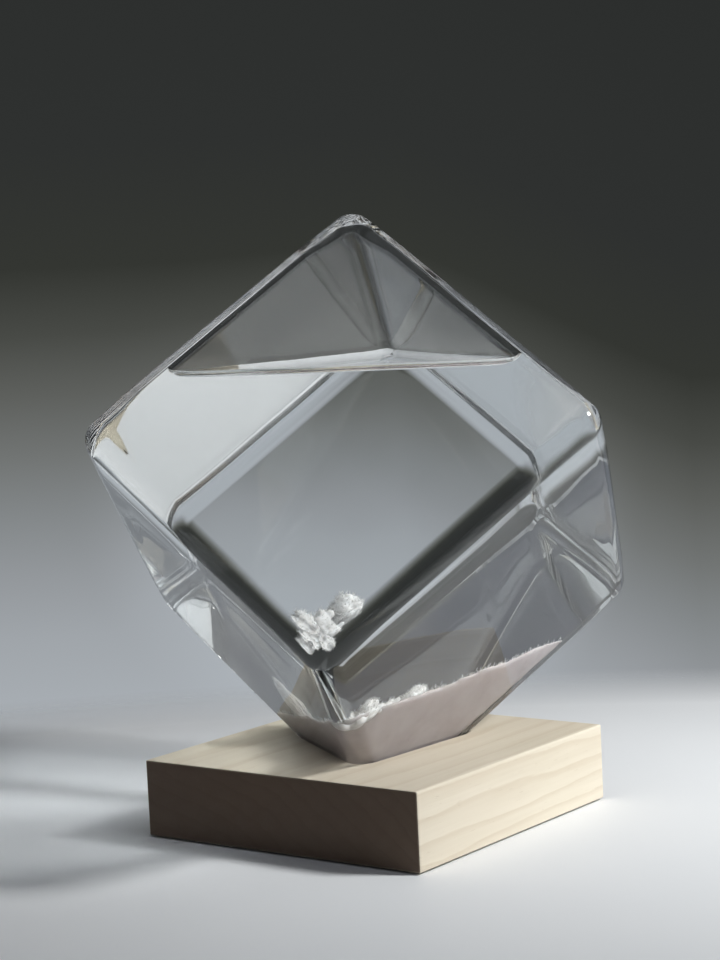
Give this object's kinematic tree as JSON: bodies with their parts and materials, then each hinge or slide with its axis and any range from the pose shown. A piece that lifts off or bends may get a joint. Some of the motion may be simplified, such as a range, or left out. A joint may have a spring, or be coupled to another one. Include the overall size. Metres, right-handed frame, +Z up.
{
  "type": "storm glass",
  "caption": "Storm glass: a sealed hollow glass cube on one corner, part filled with clear solution and white crystals, in a square wooden base.",
  "frame": {"origin": "on the surface the base stands on, at the centre of the base, under the cube's upright diagonal", "axes": "+Z up along the cube's upright diagonal; X and Y are square to the base's sides, and the cube is turned 27 degrees about Z from them"},
  "size_m": [0.1236, 0.1114, 0.1338],
  "materials": {
    "glass": "clear, fire-polished",
    "solution": "clear liquid",
    "crystals": "white crystalline, translucent",
    "silicone": "translucent silicone, satin",
    "sealant": "cured clear sealant, glossy",
    "pale_wood": "pale close-grained hardwood, sanded, thin clear oil",
    "pads": "matt non-slip foam"
  },
  "bodies": {
    "base": {"wood_base": "pale_wood", "foot_pad_front_left": "pads", "foot_pad_front_right": "pads", "foot_pad_back_left": "pads", "foot_pad_back_right": "pads"},
    "vessel": {"glass_vessel": "glass", "storm_solution": "solution", "crystal_bed": "crystals", "crystal_plume_left": "crystals", "crystal_plume_right": "crystals", "fill_stopper": "silicone", "stopper_seal": "sealant"}
  },
  "joints": [
    {"name": "vessel_lift", "type": "slide", "parent": "base", "child": "vessel", "axis": [0, 0, 1], "range_m": [0, 0.025]}
  ]
}
